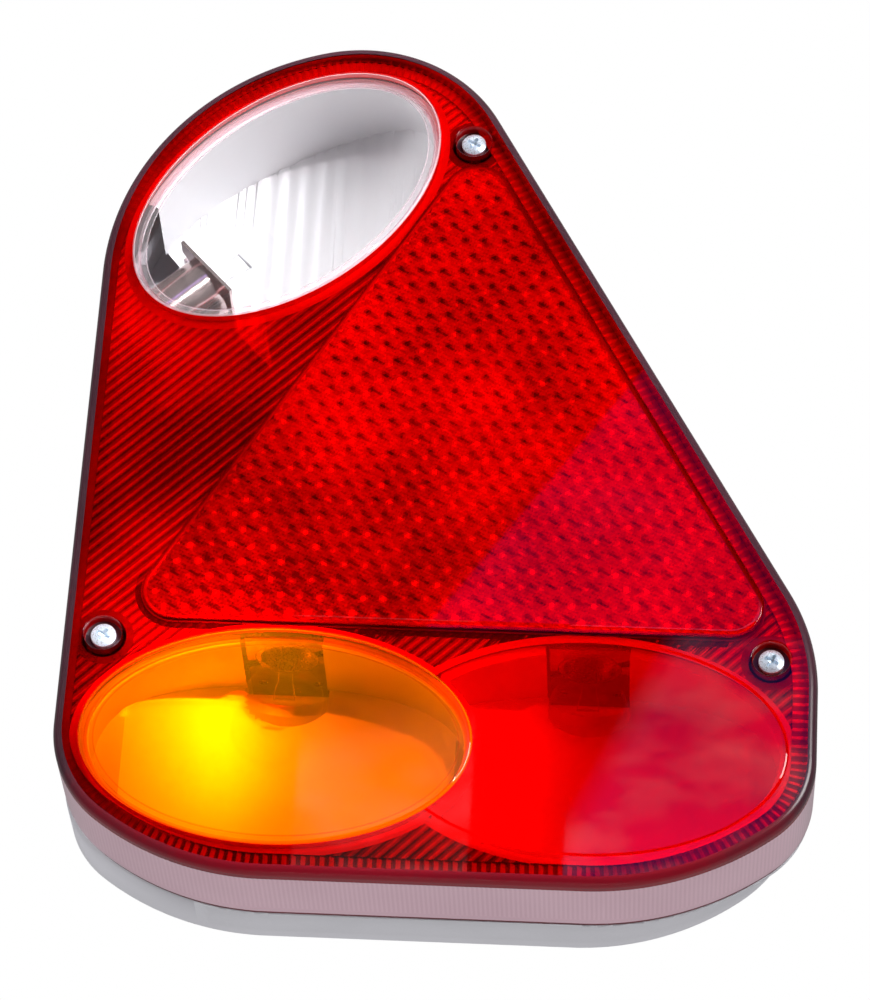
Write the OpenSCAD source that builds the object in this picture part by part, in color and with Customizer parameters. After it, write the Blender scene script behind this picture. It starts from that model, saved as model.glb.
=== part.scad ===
// Trailer tail light: a teardrop combination lamp with a reversing, an indicator and a stop chamber
// and a triangular reflex reflector. +Z is up, the lens faces -Y and the back face lies on y = 0.
// The origin is midway between the two mounting studs. Depths are measured from the lens face
// towards the back, and (x, z) places on the face count from the middle of the reflector's base.

/* [Outline] */
// Left edge of the lens, from the middle of the reflector's base
left_x = -92; // [-95:1:-90]
// Right edge of the lens
right_x = 87.3; // [86:0.1:90]
// Bottom edge of the lens
bottom_z = -65.8; // [-68:0.2:-64]
// Distance of the slanted right side from the middle of the reflector's base
slant_dist = 75.75; // [75:0.25:78]
// Radius of the big upper left round
crown_r = 69; // [66:1:70]
// Radius of the upper right round
shoulder_r = 40; // [36:1:44]

/* [Depths] */
// Depth of the whole lamp, from the lens face to the back face
lamp_depth = 40; // [38:1:44]
// Depth of the lens shell's side wall
lens_depth = 23.4; // [22:0.2:25]
// Thickness of the lens shell's side wall
lens_wall = 3; // [2:0.25:3]
// Thickness of the lens face
face_t = 2.5; // [2:0.25:3]
// Thickness of the gasket between lens and base
gasket_t = 1; // [0.8:0.2:1.2]
// Thickness of the base's back plate and wall
base_wall = 2.5; // [2:0.5:2.5]

/* [Windows] */
// Half length of the reversing and indicator windows
window_a = 46.5; // [45:0.5:47]
// Half width of the windows
window_b = 28.2; // [27:0.2:28.4]
// Half length of the reversing window, which is a little shorter
reverse_a = 44.7; // [43:0.1:45]
// Tilt of the reversing window's long axis
reverse_tilt = 43.7; // [42:0.1:46]

/* [Reflector] */
// Side of the triangular reflex reflector, measured at its sharp corners
tri_side = 160; // [156:1:161]
// Corner radius of the reflex reflector
tri_corner = 8; // [7:0.5:9]

/* [Bulbs] */
// Depth of the bulbs' axes below the lens face
bulb_depth = 16; // [15.5:0.5:16.5]
// Radius of a bulb's globe
globe_r = 9.5; // [9:0.1:9.6]
// Radius of a bayonet cap
cap_r = 7.5; // [7.5:0.05:7.6]
// Angle a bulb turns in its holder between locked and free
bayonet_turn = 20; // [15:1:24]

/* [Fixings] */
// Distance between the mounting studs
stud_spacing = 100; // [96:1:104]
// Radius of a mounting stud
stud_r = 3; // [3:0.5:4]
// Length of a stud behind the back face
stud_out = 24; // [15:1:35]
// Height of the studs' line above the reflector's base
stud_z = 30; // [26:1:34]
// Radius of the cable hole in the grommet
cable_r = 3.5; // [2.5:0.25:4]
// Radius of a lens screw's shank
screw_r = 1.5; // [1.4:0.05:1.6]

/* [Hidden] */
$fn = 64;

reverse_c = [-47.4, 119.8];
indicator_c = [-39.5, -30.5];
stop_c = [33.4, -30.5];
stop_a = window_a + 0.9;
screw_at = [[-1.6, 136.7], [-82.4, -5.2], [76.2, -5.9]];

// Lamp positions: the holder plate's middle and the bulb's direction, for reverse, indicator, stop.
plate_dist = 26.5;
reverse_p = reverse_c - plate_dist * [cos(reverse_tilt), sin(reverse_tilt)];
lamps = [[reverse_p, reverse_tilt], [[-39.6, -2.5], -90], [[33.2, -2.5], -90]];
REVERSE = 0;
INDICATOR = 1;
STOP = 2;

base_inset = 0.8;
flange_t = 1.2;
rim_depth = lens_depth + gasket_t;
floor_depth = lamp_depth - base_wall;
upstand_top = 20;
upstand_out = lens_wall + 0.3;
upstand_in = upstand_out + 1.8;
bowl_top = 4;
bowl_flange = 1.2;
bowl_wall = 1.2;
bowl_gap = 2.2;
pillar_r = 5.2;
insert_r = 2.6;
screw_end = 34;
head_r = 3;
head_t = 2;
head_sink = 1;
holder_in = cap_r + 0.15;
holder_out = holder_in + 0.6;
holder_len = 18;
plate_w = 19.2;
plate_t = 0.8;
plate_up = 10;
pin_r = 1;
pin_z = -7;
slot_half = 1.15;
insulator_t = 2;
strip_w = 4;
strip_t = 0.6;
live_depth = 34.5;
earth_depth = floor_depth - 2 * strip_t;
contact_z = -holder_len - insulator_t;
terminal_z = 58;
terminal_h = 10;
terminal_x = [-15, -5, 5, 15];
tri_back_depth = 7;
neck_r = stud_r + 0.25;
cable_z = 38;

// ---- plane helpers ----

arc_step = 3;

function dir(a) = [cos(a), sin(a)];

// Centres, radii and angles of the arcs that make the outline, in clockwise order. Each arc meets
// the next one tangentially or by a straight side. The last four are the two lower corners.
function outline_arcs(rx, low) =
    let (
        crown_end = 105,
        crown0 = [left_x + crown_r, 0],
        shoulder0 = crown0 + (crown_r - shoulder_r) * dir(crown_end),
        lift = (slant_dist - shoulder_r - shoulder0 * dir(30)) / sin(30),
        up = [0, lift],
        hip_r = 52,
        hip_x = rx - hip_r,
        hip_z = (slant_dist - (right_x - rx) - hip_r - hip_x * cos(30)) / sin(30),
        right_small = low[0],
        right_big = low[1],
        left_small = low[2],
        left_big = low[3],
        ra = -52,
        la = -127,
        rb = [rx - right_small, 0] + (right_small - right_big) * dir(ra),
        rz = bottom_z + right_big - rb[1],
        lb = [left_x + left_small, 0] + (left_small - left_big) * dir(la),
        lz = bottom_z + left_big - lb[1]
    ) [
        [crown0 + up, crown_r, 180, crown_end],
        [shoulder0 + up, shoulder_r, crown_end, 30],
        [[hip_x, hip_z], hip_r, 30, 0],
        [[rx - right_small, rz], right_small, 0, ra],
        [rb + [0, rz], right_big, ra, -90],
        [lb + [0, lz], left_big, -90, la],
        [[left_x + left_small, lz], left_small, la, -180]
    ];

lens_arcs = outline_arcs(right_x, [24, 72, 29.4, 66.7]);
base_arcs = outline_arcs(right_x - 2, [35, 66, 24, 68]);

tri_in = tri_corner / sin(30);
tri_h = tri_side * sin(60);
tri_arcs = [
    [[0, tri_h - tri_in], tri_corner, 150, 30],
    [[tri_side / 2 - tri_in * cos(30), tri_corner], tri_corner, 30, -90],
    [[-tri_side / 2 + tri_in * cos(30), tri_corner], tri_corner, -90, -210]
];

// Extrudes face-plane children from depth d0 to depth d1.
module slab(d0, d1) {
    translate([0, d1 - lamp_depth, -stud_z])
        rotate([90, 0, 0])
            linear_extrude(d1 - d0)
                children();
}

// Points of an outline of arcs, grown by off. Where two arcs meet, their shared point comes once.
function outline_points(arcs, off) = [
    for (k = [0:len(arcs) - 1])
        let (
            a = arcs[k],
            b = arcs[(k + 1) % len(arcs)],
            n = ceil(abs(a[3] - a[2]) / arc_step),
            gap = a[0] + (a[1] + off) * dir(a[3]) - b[0] - (b[1] + off) * dir(b[2]),
            last = norm(gap) < 0.01 ? n - 1 : n
        )
        for (i = [0:last])
            a[0] + (a[1] + off) * dir(a[2] + (a[3] - a[2]) * i / n)
];

// Slab in the face plane with an outline of arcs, grown by off.
module arc_slab(arcs, off, d0, d1) {
    slab(d0, d1) polygon(outline_points(arcs, off));
}

module oval(c, a, b, tilt = 0, steps = 96) {
    polygon([
        for (i = [0:steps - 1])
            let (t = 360 * i / steps)
            c + [a * cos(t) * cos(tilt) - b * sin(t) * sin(tilt), a * cos(t) * sin(tilt) + b * sin(t) * cos(tilt)]
    ]);
}

module reverse_oval(off = 0) {
    oval(reverse_c, reverse_a + off, window_b - 0.4 + off, reverse_tilt);
}

module indicator_oval(off = 0) {
    oval(indicator_c, window_a + off, window_b + off);
}

module stop_oval(off = 0) {
    oval(stop_c, stop_a + off, window_b + off);
}

// Round bar through the face plane at p, from depth d0 to depth d1.
module bar(p, r, d0, d1, sides = 64) {
    translate([p[0], d1 - lamp_depth, p[1] - stud_z])
        rotate([90, 0, 0])
            cylinder(r = r, h = d1 - d0, $fn = sides);
}

// Flat strip in the face plane between two corners, d0 to d1 deep.
module strip(p, q, d0, d1) {
    translate([min(p[0], q[0]), d0 - lamp_depth, min(p[1], q[1]) - stud_z])
        cube([abs(q[0] - p[0]), d1 - d0, abs(q[1] - p[1])]);
}

// Straight conductor from p to q along X or Z, strip_w wide.
module run(p, q, d0) {
    strip(
        [min(p[0], q[0]) - strip_w / 2, min(p[1], q[1]) - strip_w / 2],
        [max(p[0], q[0]) + strip_w / 2, max(p[1], q[1]) + strip_w / 2],
        d0, d0 + strip_t
    );
}

// Moves children to a lamp: Z runs along the bulb away from its holder, and Y into the lamp.
module at_lamp(i) {
    translate([lamps[i][0][0], bulb_depth - lamp_depth, lamps[i][0][1] - stud_z])
        rotate([0, 90 - lamps[i][1], 0])
            children();
}

// ---- base ----

module base_housing() {
    color("gainsboro") difference() {
        union() {
            arc_slab(lens_arcs, -0.4, rim_depth, rim_depth + flange_t);
            arc_slab(base_arcs, -base_inset, rim_depth, lamp_depth);
            arc_slab(lens_arcs, -upstand_out, upstand_top, rim_depth + flange_t);
        }
        difference() {
            union() {
                arc_slab(lens_arcs, -upstand_in, upstand_top - 1, rim_depth + flange_t + 1);
                arc_slab(base_arcs, -base_inset - base_wall, rim_depth + flange_t, floor_depth);
            }
            for (p = screw_at)
                bar(p, pillar_r, lens_depth, lamp_depth);
        }
        for (p = screw_at) {
            bar(p, pillar_r + 0.3, upstand_top - 1, lens_depth);
            bar(p, insert_r, lens_depth - 1, screw_end + 1.5);
        }
        for (s = [-1, 1])
            bar([s * stud_spacing / 2, stud_z], neck_r + 0.05, 0, lamp_depth + 1);
        bar([0, cable_z], 6, 0, lamp_depth + 1);
        bar([0, cable_z], 8.1, lamp_depth - 1.2, lamp_depth + 1);
    }
}

module gasket() {
    color("dimgray") difference() {
        arc_slab(lens_arcs, -0.5, lens_depth, rim_depth);
        arc_slab(lens_arcs, -lens_wall, lens_depth - 1, rim_depth + 1);
    }
}

module cable_grommet() {
    color("black") difference() {
        union() {
            bar([0, cable_z], 6, floor_depth - 2.5, lamp_depth);
            bar([0, cable_z], 8.5, floor_depth - 2.5, floor_depth);
            bar([0, cable_z], 8, lamp_depth - 1.2, lamp_depth);
        }
        bar([0, cable_z], cable_r, floor_depth - 4, lamp_depth + 1);
    }
}

module mounting_studs() {
    color("silver") for (s = [-1, 1]) {
        bar([s * stud_spacing / 2, stud_z], neck_r, floor_depth - 4, lamp_depth);
        bar([s * stud_spacing / 2, stud_z], stud_r, floor_depth - 4, lamp_depth + stud_out);
        bar([s * stud_spacing / 2, stud_z], 5.7, floor_depth - 4, floor_depth, 6);
    }
}

module screw_inserts() {
    color("goldenrod") for (p = screw_at) difference() {
        bar(p, insert_r, lens_depth + 0.4, screw_end + 1);
        bar(p, screw_r + 0.05, lens_depth, screw_end + 2);
    }
}

// ---- reflector bowls ----

// Vertical trough cylinder, its axis at x and depth d, that makes a bowl's curved floor.
module floor_drum(x, r, deepest) {
    translate([x, deepest - r - lamp_depth, -150 - stud_z])
        cylinder(r = r, h = 400, $fn = 180);
}

// Clearance for a bulb: a drum along the bulb's axis that ends in part of a ball.
module bulb_trough(i, grow = 0) {
    r = 14.7 + grow;
    ball = 16.4 + grow;
    at_lamp(i) {
        translate([0, 0, -6]) cylinder(r = r, h = 7);
        intersection() {
            translate([0, 0, 1]) cylinder(r = r, h = 20);
            translate([0, 0, 1]) sphere(r = ball);
        }
    }
}

// Opening for a holder's plate in a bowl's end wall.
module plate_opening(i) {
    at_lamp(i) translate([-plate_w / 2 - 0.15, -13, -9.5]) cube([plate_w + 0.3, 34.6, 14]);
}

module bowl(i, x, r, deepest) {
    difference() {
        union() {
            slab(bowl_top, bowl_top + bowl_flange) children(0);
            slab(bowl_top, floor_depth) children(1);
        }
        intersection() {
            slab(bowl_top - 1, floor_depth) children(2);
            union() {
                floor_drum(x, r, deepest);
                bulb_trough(i);
            }
        }
        difference() {
            slab(bowl_top + bowl_flange, floor_depth + 1) children(2);
            floor_drum(x, r + bowl_wall, deepest + bowl_wall);
            bulb_trough(i, bowl_wall);
        }
        plate_opening(i);
    }
}

module reflector_indicator() {
    color("whitesmoke") bowl(INDICATOR, indicator_c[0] + 2, 75, 27.5) {
        indicator_oval(0.7);
        indicator_oval(-bowl_gap + bowl_wall);
        indicator_oval(-bowl_gap);
    }
}

module reflector_stop() {
    color("whitesmoke") bowl(STOP, stop_c[0], 75, 27.5) {
        difference() {
            stop_oval(0.7);
            indicator_oval(0.9);
        }
        difference() {
            stop_oval(-bowl_gap + bowl_wall);
            indicator_oval(0.9);
        }
        difference() {
            stop_oval(-bowl_gap);
            indicator_oval(0.9 + bowl_wall);
        }
    }
}

// The reversing bowl stops short of its holder and leaves that end of the window open.
module reflector_reverse() {
    color("whitesmoke") difference() {
        bowl(REVERSE, reverse_c[0] - 8, 52, 33) {
            reverse_oval(0.7);
            reverse_oval(-bowl_gap + bowl_wall);
            reverse_oval(-bowl_gap);
        }
        at_lamp(REVERSE) translate([-60, -40, -60 + 1.5]) cube([120, 80, 60]);
    }
}

// ---- lens group ----

module lens_shell() {
    color("red") difference() {
        union() {
            difference() {
                arc_slab(lens_arcs, 0, 0, lens_depth);
                arc_slab(lens_arcs, -lens_wall, face_t, lens_depth + 1);
            }
            for (p = screw_at)
                bar(p, pillar_r, 0, lens_depth);
        }
        for (p = screw_at) {
            bar(p, screw_r + 0.25, -1, lens_depth + 1);
            bar(p, head_r + 1.6, -1, head_sink + head_t);
        }
        slab(-1, face_t + 1) reverse_oval();
        slab(-1, face_t + 1) indicator_oval();
        arc_slab(tri_arcs, 0, -1, face_t + 1);
        slab(-1, 0.3) difference() {
            stop_oval();
            stop_oval(-0.7);
        }
    }
}

module window_reverse() {
    color("white", 0.5) {
        slab(0, 2.2) reverse_oval();
        slab(2.2, bowl_top - 0.2) difference() {
            reverse_oval(-1.4);
            reverse_oval(-2.6);
        }
    }
}

module window_indicator() {
    color("orange") {
        slab(0, 2.2) indicator_oval();
        slab(2.2, bowl_top - 0.2) difference() {
            indicator_oval(-1.4);
            indicator_oval(-2.6);
        }
    }
}

module reflex_prism() {
    color("crimson") arc_slab(tri_arcs, 0, 0.3, face_t + 0.6);
}

module reflex_back() {
    color("darkred") difference() {
        arc_slab(tri_arcs, 0.5, face_t, tri_back_depth);
        arc_slab(tri_arcs, 0, face_t - 1, face_t + 0.6);
        arc_slab(tri_arcs, -1, face_t - 1, tri_back_depth - 1.2);
    }
}

// Pan-head screw with a cross recess.
module lens_screw(p) {
    under = head_sink + head_t;
    color("silver") difference() {
        union() {
            bar(p, head_r, head_sink + 0.6, under);
            bar(p, head_r - 0.5, head_sink, under);
            bar(p, screw_r, under, screw_end);
        }
        for (w = [[3.4, 0.8], [0.8, 3.4]])
            strip(p - w / 2, p + w / 2, head_sink - 1, head_sink + 1.2);
    }
}

module lens_screw_top() { lens_screw(screw_at[0]); }

module lens_screw_left() { lens_screw(screw_at[1]); }

module lens_screw_right() { lens_screw(screw_at[2]); }

// ---- bulb holders ----

// Wedge of angle a0 to a1 about the bulb's axis, from z0 to z1.
module wedge(a0, a1, z0, z1) {
    translate([0, 0, z0])
        linear_extrude(z1 - z0)
            polygon([[0, 0], 12 * dir(a0), 14 * dir((a0 + a1) / 2), 12 * dir(a1)]);
}

// Stamped steel holder: end plate with foot, and a sleeve with two bayonet slots.
module holder(i) {
    pin_half = 9;
    color("silver") at_lamp(i) difference() {
        union() {
            translate([0, 0, -holder_len]) cylinder(r = holder_out, h = holder_len);
            translate([-plate_w / 2, -plate_up, -plate_t])
                cube([plate_w, plate_up + floor_depth - bulb_depth, plate_t]);
            translate([-6, floor_depth - bulb_depth - plate_t, -12]) cube([12, plate_t, 12]);
        }
        translate([0, 0, -holder_len - 1]) cylinder(r = holder_in, h = holder_len + 2);
        for (s = [0, 180]) {
            wedge(s - pin_half, s + bayonet_turn + pin_half, pin_z - slot_half, pin_z + slot_half);
            wedge(s + bayonet_turn - pin_half, s + bayonet_turn + pin_half, pin_z, 1);
        }
        for (x = [-6.6, 6.6])
            translate([x, floor_depth - bulb_depth - 8, -2]) cylinder(r = 1.1, h = 4);
    }
}

module insulator(i) {
    color("saddlebrown") at_lamp(i) translate([0, 0, contact_z]) difference() {
        cylinder(r = holder_out, h = insulator_t);
        translate([0, 0, -1]) cylinder(r = 1.25, h = insulator_t + 2);
    }
}

// Centre contact with its rivet and the leg down to the conductor's level.
module contact_head(i) {
    at_lamp(i) {
        translate([0, 0, -holder_len]) cylinder(r = 3, h = 0.5);
        translate([0, 0, contact_z - strip_t]) cylinder(r = 1.2, h = insulator_t + strip_t + 0.1);
        translate([-strip_w / 2, -2, contact_z - strip_t])
            cube([strip_w, 2 + live_depth + strip_t - bulb_depth, strip_t]);
    }
}

module contact_indicator() {
    low = lamps[INDICATOR][0] + [0, -contact_z + strip_w / 2];
    turn = [low[0], 52];
    color("goldenrod") {
        contact_head(INDICATOR);
        run(low, turn, live_depth);
        run(turn, [terminal_x[1], 52], live_depth);
        run([terminal_x[1], 52], [terminal_x[1], terminal_z - strip_w / 2], live_depth);
    }
}

module contact_stop() {
    low = lamps[STOP][0] + [0, -contact_z + strip_w / 2];
    turn = [low[0], 52];
    color("goldenrod") {
        contact_head(STOP);
        run(low, turn, live_depth);
        run(turn, [terminal_x[2], 52], live_depth);
        run([terminal_x[2], 52], [terminal_x[2], terminal_z - strip_w / 2], live_depth);
    }
}

module contact_reverse() {
    tail = lamps[REVERSE][0] + (contact_z - strip_t / 2) * dir(reverse_tilt);
    turn = [tail[0], 74];
    color("goldenrod") {
        contact_head(REVERSE);
        run(tail, turn, live_depth);
        run(turn, [terminal_x[0], 74], live_depth);
        run([terminal_x[0], 74], [terminal_x[0], terminal_z + terminal_h + strip_w / 2], live_depth);
    }
}

// Common earth conductor that lies on the three holders' feet.
module earth_strip() {
    level = earth_depth - 0.2;
    foot_z = 6;
    side_x = -71.5;
    foot = lamps[REVERSE][0] - 7 * dir(reverse_tilt);
    color("darkgoldenrod") {
        run([side_x, foot_z], [lamps[STOP][0][0], foot_z], level);
        run([side_x, foot_z], [side_x, foot[1]], level);
        run([terminal_x[3], foot_z], [terminal_x[3], terminal_z - strip_w / 2], level);
    }
}

module terminal_block() {
    mid = terminal_z + terminal_h / 2;
    color("ivory") difference() {
        strip([-21, terminal_z], [21, terminal_z + terminal_h], floor_depth - 9, floor_depth);
        for (x = terminal_x) {
            bar([x, mid], 2, floor_depth - 10, floor_depth - 3);
            translate([x, floor_depth - 6 - lamp_depth, mid - stud_z])
                rotate([180, 0, 0]) cylinder(r = 1.6, h = 10, $fn = 32);
        }
    }
}

module terminal_screws() {
    mid = terminal_z + terminal_h / 2;
    color("silver") for (x = terminal_x) difference() {
        bar([x, mid], 1.95, floor_depth - 8.6, floor_depth - 7.6);
        strip([x - 1.6, mid - 0.3], [x + 1.6, mid + 0.3], floor_depth - 9, floor_depth - 8.1);
    }
}

// ---- bulbs ----

module bulb_cap(i) {
    color("burlywood") at_lamp(i) difference() {
        union() {
            translate([0, 0, -16.5]) cylinder(r = cap_r, h = 16.5);
            translate([0, 0, -17.45]) cylinder(r = 2, h = 1);
            translate([0, 0, pin_z]) rotate([0, 90, 0]) translate([0, 0, -cap_r - 1]) cylinder(r = pin_r, h = 2 * cap_r + 2);
        }
        translate([0, 0, -3]) cylinder(r = 6.4, h = 4);
    }
}

module bulb_glass(i) {
    wall = 0.7;
    color("white", 0.3) at_lamp(i) difference() {
        union() {
            translate([0, 0, -3]) cylinder(r = 6.3, h = 8);
            translate([0, 0, 11]) sphere(r = globe_r, $fn = 96);
        }
        translate([0, 0, -1.8]) cylinder(r = 6.3 - wall, h = 8);
        translate([0, 0, 11]) sphere(r = globe_r - wall, $fn = 96);
    }
}

// Two supply wires with the filament between their tips.
module filament(i) {
    color("gray") at_lamp(i) {
        for (s = [-1, 1])
            translate([s * 2.5, 0, -1.8]) cylinder(r = 0.3, h = 13.2, $fn = 24);
        translate([-3, 0, 11]) rotate([0, 90, 0]) cylinder(r = 0.45, h = 6, $fn = 24);
        translate([-3, -0.8, 3]) cube([6, 1.6, 1.6]);
    }
}

base_housing();
gasket();
cable_grommet();
mounting_studs();
reflector_reverse();
reflector_indicator();
reflector_stop();
lens_shell();
window_reverse();
window_indicator();
reflex_prism();
reflex_back();
lens_screw_top();
lens_screw_left();
lens_screw_right();
screw_inserts();
holder(REVERSE);  // holder_reverse
holder(INDICATOR);  // holder_indicator
holder(STOP);  // holder_stop
insulator(REVERSE);  // insulator_reverse
insulator(INDICATOR);  // insulator_indicator
insulator(STOP);  // insulator_stop
contact_reverse();
contact_indicator();
contact_stop();
earth_strip();
terminal_block();
terminal_screws();
bulb_cap(REVERSE);  // bulb_cap_reverse
bulb_cap(INDICATOR);  // bulb_cap_indicator
bulb_cap(STOP);  // bulb_cap_stop
bulb_glass(REVERSE);  // bulb_glass_reverse
bulb_glass(INDICATOR);  // bulb_glass_indicator
bulb_glass(STOP);  // bulb_glass_stop
filament(REVERSE);  // filament_reverse
filament(INDICATOR);  // filament_indicator
filament(STOP);  // filament_stop
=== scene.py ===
"""Looks of a trailer tail light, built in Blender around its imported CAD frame.

Lengths in the shape code are millimetres: x along the row's X, z above the reflector's base, and
depth behind the lens face. build() turns them into metres in the row frame.
"""
import math
import bmesh
import bpy
import numpy as np
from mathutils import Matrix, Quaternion, Vector
from mathutils.geometry import delaunay_2d_cdt


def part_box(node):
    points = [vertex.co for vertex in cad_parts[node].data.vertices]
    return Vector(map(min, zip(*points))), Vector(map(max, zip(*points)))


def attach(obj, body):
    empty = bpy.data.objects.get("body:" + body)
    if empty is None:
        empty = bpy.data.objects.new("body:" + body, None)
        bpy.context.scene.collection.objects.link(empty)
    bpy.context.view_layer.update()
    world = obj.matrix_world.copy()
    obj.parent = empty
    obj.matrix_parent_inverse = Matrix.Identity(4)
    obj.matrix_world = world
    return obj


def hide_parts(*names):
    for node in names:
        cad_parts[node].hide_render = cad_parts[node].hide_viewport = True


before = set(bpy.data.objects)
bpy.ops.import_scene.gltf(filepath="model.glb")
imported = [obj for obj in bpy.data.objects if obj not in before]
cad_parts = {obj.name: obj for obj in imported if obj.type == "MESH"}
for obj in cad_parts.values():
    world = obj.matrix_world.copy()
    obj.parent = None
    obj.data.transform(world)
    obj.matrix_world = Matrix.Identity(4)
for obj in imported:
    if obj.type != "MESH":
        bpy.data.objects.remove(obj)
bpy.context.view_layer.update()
scene = bpy.context.scene
MM = 0.001


def new_object(name, data):
    """Object with this data, linked to the scene."""
    made = bpy.data.objects.new(name, data)
    scene.collection.objects.link(made)
    return made


# ---- camera and lights ----

camera = new_object("camera", bpy.data.cameras.new("camera"))
scene.camera = camera
camera.data.lens = 162.0
camera.data.clip_start = 0.01
camera.location = (0.0577, -0.9894, -0.5140)
LOOK_AT = Vector((-0.0055, -0.0400, 0.0035))
ROLL = math.radians(3.74)
aim = (LOOK_AT - camera.location).to_track_quat("-Z", "Y")
camera.rotation_mode = "QUATERNION"
camera.rotation_quaternion = aim @ Quaternion((0, 0, 1), ROLL)

scene.view_settings.view_transform = "Standard"
scene.view_settings.look = "None"


def put_light(name, kind, watts, target, direction, distance):
    """Light aimed at target from this direction."""
    light = new_object(name, bpy.data.lights.new(name, kind))
    light.data.energy = watts
    light.location = target + direction * distance
    light.rotation_euler = direction.to_track_quat("Z", "Y").to_euler()
    return light


def area_light(name, azimuth, elevation, distance, size, watts, glossy=False):
    """Oblong area light aimed at the lamp. Azimuth counts to the right from in front."""
    a, e = math.radians(azimuth), math.radians(elevation)
    direction = Vector((math.sin(a) * math.cos(e), -math.cos(a) * math.cos(e), math.sin(e)))
    light = put_light(name, "AREA", watts, Vector(), direction, distance)
    light.data.shape = "RECTANGLE"
    light.data.size, light.data.size_y = size
    light.visible_glossy, light.visible_camera = glossy, False


# ---- node helpers ----

def new_material(name):
    material = bpy.data.materials.new(name)
    material.use_nodes = True
    material.node_tree.nodes.clear()
    return material, material.node_tree


def add(tree, kind, values=None, out=0, **settings):
    """Adds a shader node, sets its settings and inputs, and gives one of its outputs."""
    node = tree.nodes.new("ShaderNode" + kind)
    for key, value in settings.items():
        setattr(node, key, value)
    for key, value in (values or {}).items():
        socket = node.inputs[key]
        if isinstance(value, bpy.types.NodeSocket):
            tree.links.new(value, socket)
        elif socket.type == "RGBA":
            socket.default_value = (*value, 1.0)
        else:
            socket.default_value = value
    return node.outputs[out] if node.outputs else None


def output(tree, shader):
    add(tree, "OutputMaterial", {"Surface": shader})


def maths(tree, operation, a, b=0.0, clamp=False):
    return add(tree, "Math", {0: a, 1: b}, operation=operation, use_clamp=clamp)


def noise(tree, scale, detail=3.0, rough=0.5, stretch=None):
    """Noise in object space, cycles per metre. stretch scales the three axes."""
    place = add(tree, "TexCoord", out="Object")
    if stretch:
        place = add(tree, "VectorMath", {0: place, 1: stretch}, operation="MULTIPLY")
    return add(tree, "TexNoise", {"Vector": place, "Scale": scale, "Detail": detail, "Roughness": rough})


def ramp(tree, value, stops):
    colour = add(tree, "ValToRGB", {"Fac": value})
    elements = colour.node.color_ramp.elements
    while len(elements) < len(stops):
        elements.new(0.5)
    for element, (place, stop) in zip(elements, stops):
        element.position = place
        element.color = (*stop, 1.0)
    return colour


def spread(tree, value, to_low, to_high, low=0.3, high=0.7):
    """Maps low..high, by default the usual range of noise, to to_low..to_high."""
    return add(tree, "MapRange", {0: value, 1: low, 2: high, 3: to_low, 4: to_high})


def shaded(tree, colour, factor):
    return add(tree, "VectorMath", {0: colour, "Scale": factor}, operation="SCALE")


def face_tone(tree):
    return add(tree, "Attribute", out="Fac", attribute_name="tone")


def bump(tree, height, distance):
    return add(tree, "Bump", {"Height": height, "Distance": distance, "Strength": 1.0})


def mix_shader(tree, factor, a, b):
    return add(tree, "MixShader", {0: factor, 1: a, 2: b})


def gloss_factor(tree, ior):
    """Fresnel share of gloss on the side that faces out, and none on the inside."""
    fresnel = add(tree, "Fresnel", {"IOR": ior})
    inside = add(tree, "NewGeometry", out="Backfacing")
    return maths(tree, "MULTIPLY", fresnel, maths(tree, "SUBTRACT", 1.0, inside))


def clear_plastic(name, tint, haze=0.0, haze_colour=(1, 1, 1), ior=1.49, rough=0.02,
                  tone_tint=None, tone_haze=0.0):
    """Clear coloured plastic: a tint, a thin haze and a Fresnel gloss with faint scuffs."""
    material, tree = new_material(name)
    tone = face_tone(tree)
    colour = ramp(tree, tone, [(0.0, tint), (1.0, tone_tint)]) if tone_tint else tint
    body = add(tree, "BsdfTransparent", {"Color": colour})
    if haze:
        cloud = add(tree, "BsdfDiffuse", {"Color": haze_colour})
        share = spread(tree, noise(tree, 60.0), haze * 0.7, haze * 1.3)
        share = maths(tree, "ADD", share, maths(tree, "MULTIPLY", tone, tone_haze), clamp=True)
        body = mix_shader(tree, share, body, cloud)
    scuff = spread(tree, noise(tree, 900.0, 5.0, 0.7), rough, rough + 0.04, 0.5, 0.8)
    gloss = add(tree, "BsdfGlossy", {"Color": (1, 1, 1), "Roughness": scuff})
    output(tree, mix_shader(tree, gloss_factor(tree, ior), body, gloss))
    return material


def toned_plastic(name, stops, rough=0.25, see_through=0.0, tint=(1, 0, 0), mottle=0.15, coat=0.3):
    """Moulded plastic whose colour follows each face's tone, with a slow and a fine mottle."""
    material, tree = new_material(name)
    slow = spread(tree, noise(tree, 45.0, 2.0), -mottle, mottle)
    fine = spread(tree, noise(tree, 700.0, 2.0), -mottle * 0.4, mottle * 0.4)
    value = maths(tree, "ADD", maths(tree, "ADD", face_tone(tree), slow), fine, clamp=True)
    solid = add(tree, "BsdfPrincipled", {
        "Base Color": ramp(tree, value, stops), "Roughness": rough, "IOR": 1.49,
        "Coat Weight": coat, "Coat Roughness": 0.08,
    })
    if see_through:
        clear = add(tree, "BsdfTransparent", {"Color": tint})
        solid = mix_shader(tree, see_through, solid, clear)
    output(tree, solid)
    return material


def moulded(name, colour, rough=0.45, vary=0.06, coat=0.0):
    """Plain moulded plastic or rubber with a fine grain and slight colour variation."""
    material, tree = new_material(name)
    slow = spread(tree, noise(tree, 35.0, 4.0), 1.0 - vary, 1.0 + vary)
    fine = noise(tree, 900.0, 4.0, 0.6)
    output(tree, add(tree, "BsdfPrincipled", {
        "Base Color": shaded(tree, colour, slow), "Roughness": spread(tree, fine, rough * 0.85, rough * 1.15),
        "Coat Weight": coat, "Coat Roughness": 0.15, "Normal": bump(tree, fine, 0.02 * MM),
    }))
    return material


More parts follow.
